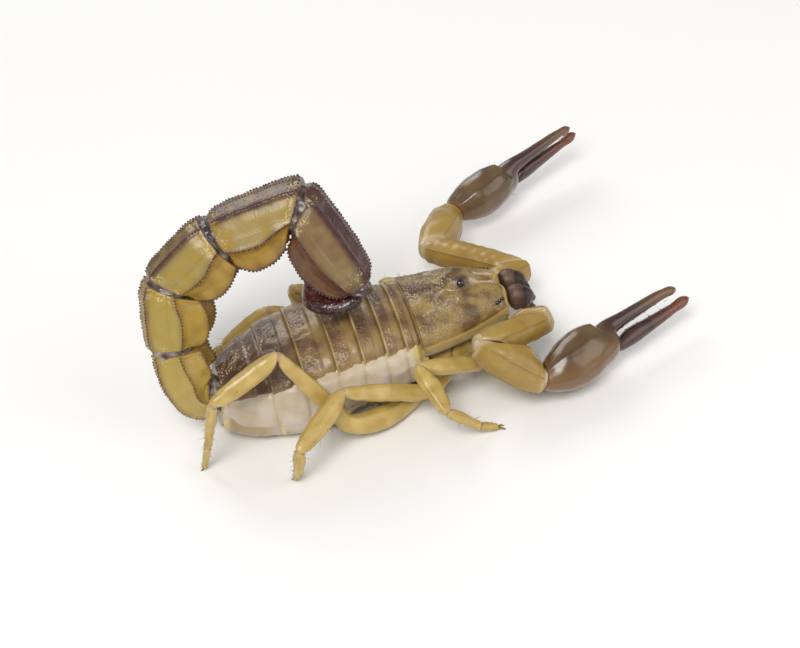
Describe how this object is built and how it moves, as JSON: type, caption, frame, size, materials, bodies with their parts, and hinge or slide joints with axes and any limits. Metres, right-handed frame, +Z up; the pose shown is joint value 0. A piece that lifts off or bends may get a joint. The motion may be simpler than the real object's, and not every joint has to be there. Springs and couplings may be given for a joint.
{
  "type": "fat-tailed desert scorpion model",
  "caption": "Life-size still model of a fat-tailed desert scorpion standing on its feet and belly, thick keeled tail curled over its back, both slender pincers reaching forward.",
  "frame": {"origin": "centre of the animal's footprint on the surface it stands on", "axes": "+X the way the head points, +Y the animal's left, +Z up"},
  "size_m": [0.055, 0.0416, 0.0247],
  "materials": {
    "shield": "granular olive-brown cuticle with paler dust on the ridges",
    "trunk": "olive-brown back plates with yellow rear margins over pale folded sides",
    "leg": "translucent amber-yellow cuticle, pale at the joints",
    "arm": "amber cuticle with fine dark keels",
    "hand": "smooth glossy olive-brown",
    "finger": "purplish black turning red-brown at the tip",
    "tail": "amber to olive faces between dark beaded keels",
    "sting": "dark red-brown, glossy",
    "chelicera": "orange-brown with darker marks",
    "comb": "pale yellow",
    "eye": "black, mirror-smooth"
  },
  "bodies": {
    "root": {"carapace": "shield", "eye_left": "eye", "eye_right": "eye", "leg_bases": "leg", "chelicera_left": "chelicera", "chelicera_right": "chelicera", "mesosoma_1": "trunk", "mesosoma_2": "trunk", "mesosoma_3": "trunk", "mesosoma_4": "trunk", "mesosoma_5": "trunk", "mesosoma_6": "trunk", "mesosoma_7": "trunk", "comb_left": "comb", "comb_right": "comb", "metasoma_1": "tail", "metasoma_2": "tail", "metasoma_3": "tail", "metasoma_4": "tail", "metasoma_5": "tail", "telson_bulb": "sting", "telson_spine": "sting", "pedipalp_right_trochanter": "arm", "pedipalp_right_femur": "arm", "pedipalp_right_patella": "arm", "pedipalp_right_hand": "hand", "pedipalp_right_finger": "finger", "pedipalp_left_trochanter": "arm", "pedipalp_left_femur": "arm", "pedipalp_left_patella": "arm", "pedipalp_left_hand": "hand", "pedipalp_left_finger": "finger", "leg_right_1_thigh": "leg", "leg_right_1_knee": "leg", "leg_right_1_foot": "leg", "leg_right_2_thigh": "leg", "leg_right_2_knee": "leg", "leg_right_2_foot": "leg", "leg_right_3_thigh": "leg", "leg_right_3_knee": "leg", "leg_right_3_foot": "leg", "leg_right_4_thigh": "leg", "leg_right_4_knee": "leg", "leg_right_4_foot": "leg", "leg_left_1_thigh": "leg", "leg_left_1_knee": "leg", "leg_left_1_foot": "leg", "leg_left_2_thigh": "leg", "leg_left_2_knee": "leg", "leg_left_2_foot": "leg", "leg_left_3_thigh": "leg", "leg_left_3_knee": "leg", "leg_left_3_foot": "leg", "leg_left_4_thigh": "leg", "leg_left_4_knee": "leg", "leg_left_4_foot": "leg"}
  },
  "joints": []
}
